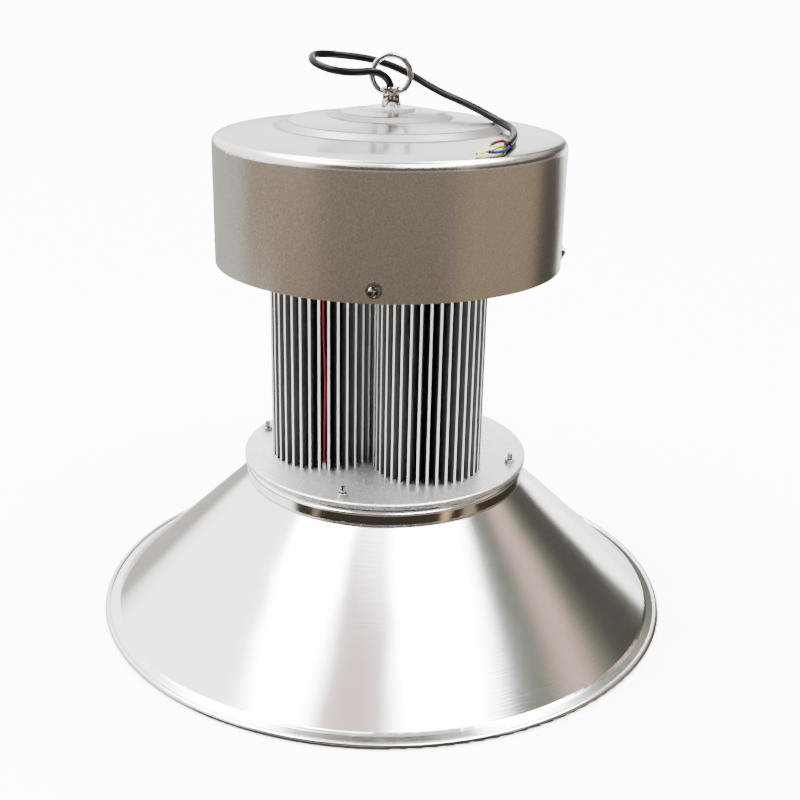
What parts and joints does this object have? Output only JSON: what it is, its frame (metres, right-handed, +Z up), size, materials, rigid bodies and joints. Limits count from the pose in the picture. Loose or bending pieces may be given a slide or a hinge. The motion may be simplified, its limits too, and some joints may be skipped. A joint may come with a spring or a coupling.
{
  "type": "high bay light",
  "caption": "Industrial high bay light with a flared spun metal shade, LED lenses under finned column heat sinks, a domed driver housing, a swinging hanging ring and an open-ended supply cord.",
  "frame": {"origin": "centre of the shade's rim, on the floor that the rim stands on", "axes": "+Z up along the light's axis to the hanging ring, +X to the right seen from the front, front towards -Y"},
  "size_m": [0.485, 0.485, 0.4603],
  "materials": {
    "block_white": "white nylon",
    "bright_steel": "zinc plated, bright",
    "bushing_white": "white sleeve",
    "clamp_black": "black nylon",
    "cord_black": "black rubber sheath, smooth and a little glossy",
    "core_blue": "blue insulation",
    "core_brown": "red-brown insulation",
    "core_yellow_green": "yellow and green insulation",
    "cover_aluminium": "spun sheet, polished dome and satin drum",
    "driver_case": "plain metal case",
    "emitter_phosphor": "yellow phosphor under clear gel",
    "extruded_aluminium": "extruded, natural anodised",
    "grommet_black": "black rubber",
    "hanger_chrome": "polished nickel chrome plate",
    "lead_black": "black insulation",
    "lead_red": "red insulation",
    "lens_clear": "clear moulded lens",
    "lens_ring_aluminium": "turned, natural anodised",
    "module_board": "white circuit board",
    "plate_aluminium": "turned and bead blasted",
    "seal_silicone": "white silicone",
    "shade_aluminium": "spun sheet, finely brushed round the axis",
    "thermal_grey": "soft grey pad",
    "tray_aluminium": "plain mill finish"
  },
  "bodies": {
    "lamp": {"block_screws": "bright_steel", "cord_clamp": "clamp_black", "core_blue": "core_blue", "core_brown": "core_brown", "core_yellow_green": "core_yellow_green", "cover_nuts": "bright_steel", "cover_screws": "bright_steel", "cover_washers": "bright_steel", "driver_1": "driver_case", "driver_2": "driver_case", "driver_3": "driver_case", "driver_cover": "cover_aluminium", "driver_screws": "bright_steel", "driver_tray": "tray_aluminium", "feed_blue": "core_blue", "feed_brown": "core_brown", "feed_earth": "core_yellow_green", "hanger_body": "hanger_chrome", "hanger_nut": "bright_steel", "heat_sink_1": "extruded_aluminium", "heat_sink_2": "extruded_aluminium", "heat_sink_3": "extruded_aluminium", "inner_washer": "bright_steel", "lead_black_1": "lead_black", "lead_black_2": "lead_black", "lead_black_3": "lead_black", "lead_bushings": "bushing_white", "lead_red_1": "lead_red", "lead_red_2": "lead_red", "lead_red_3": "lead_red", "led_emitter_1": "emitter_phosphor", "led_emitter_2": "emitter_phosphor", "led_emitter_3": "emitter_phosphor", "led_lens_1": "lens_clear", "led_lens_2": "lens_clear", "led_lens_3": "lens_clear", "led_module_1": "module_board", "led_module_2": "module_board", "led_module_3": "module_board", "led_plate": "plate_aluminium", "lens_ring_1": "lens_ring_aluminium", "lens_ring_2": "lens_ring_aluminium", "lens_ring_3": "lens_ring_aluminium", "lens_ring_screws": "bright_steel", "lens_seal_1": "seal_silicone", "lens_seal_2": "seal_silicone", "lens_seal_3": "seal_silicone", "mains_cord": "cord_black", "reflector": "shade_aluminium", "reflector_nuts": "bright_steel", "reflector_screws": "bright_steel", "sink_screws_lower": "bright_steel", "sink_screws_upper": "bright_steel", "terminal_block": "block_white", "thermal_pad_1": "thermal_grey", "thermal_pad_2": "thermal_grey", "thermal_pad_3": "thermal_grey", "top_washer": "hanger_chrome", "tray_grommets": "grommet_black"},
    "ring": {"hanger_ring": "hanger_chrome"}
  },
  "joints": [
    {"name": "hanger_ring_swing", "type": "hinge", "parent": "lamp", "child": "ring", "pos_m": [0, 0, 0.4312], "axis": [-1, 0, 0], "range_deg": [-8, 90]}
  ]
}
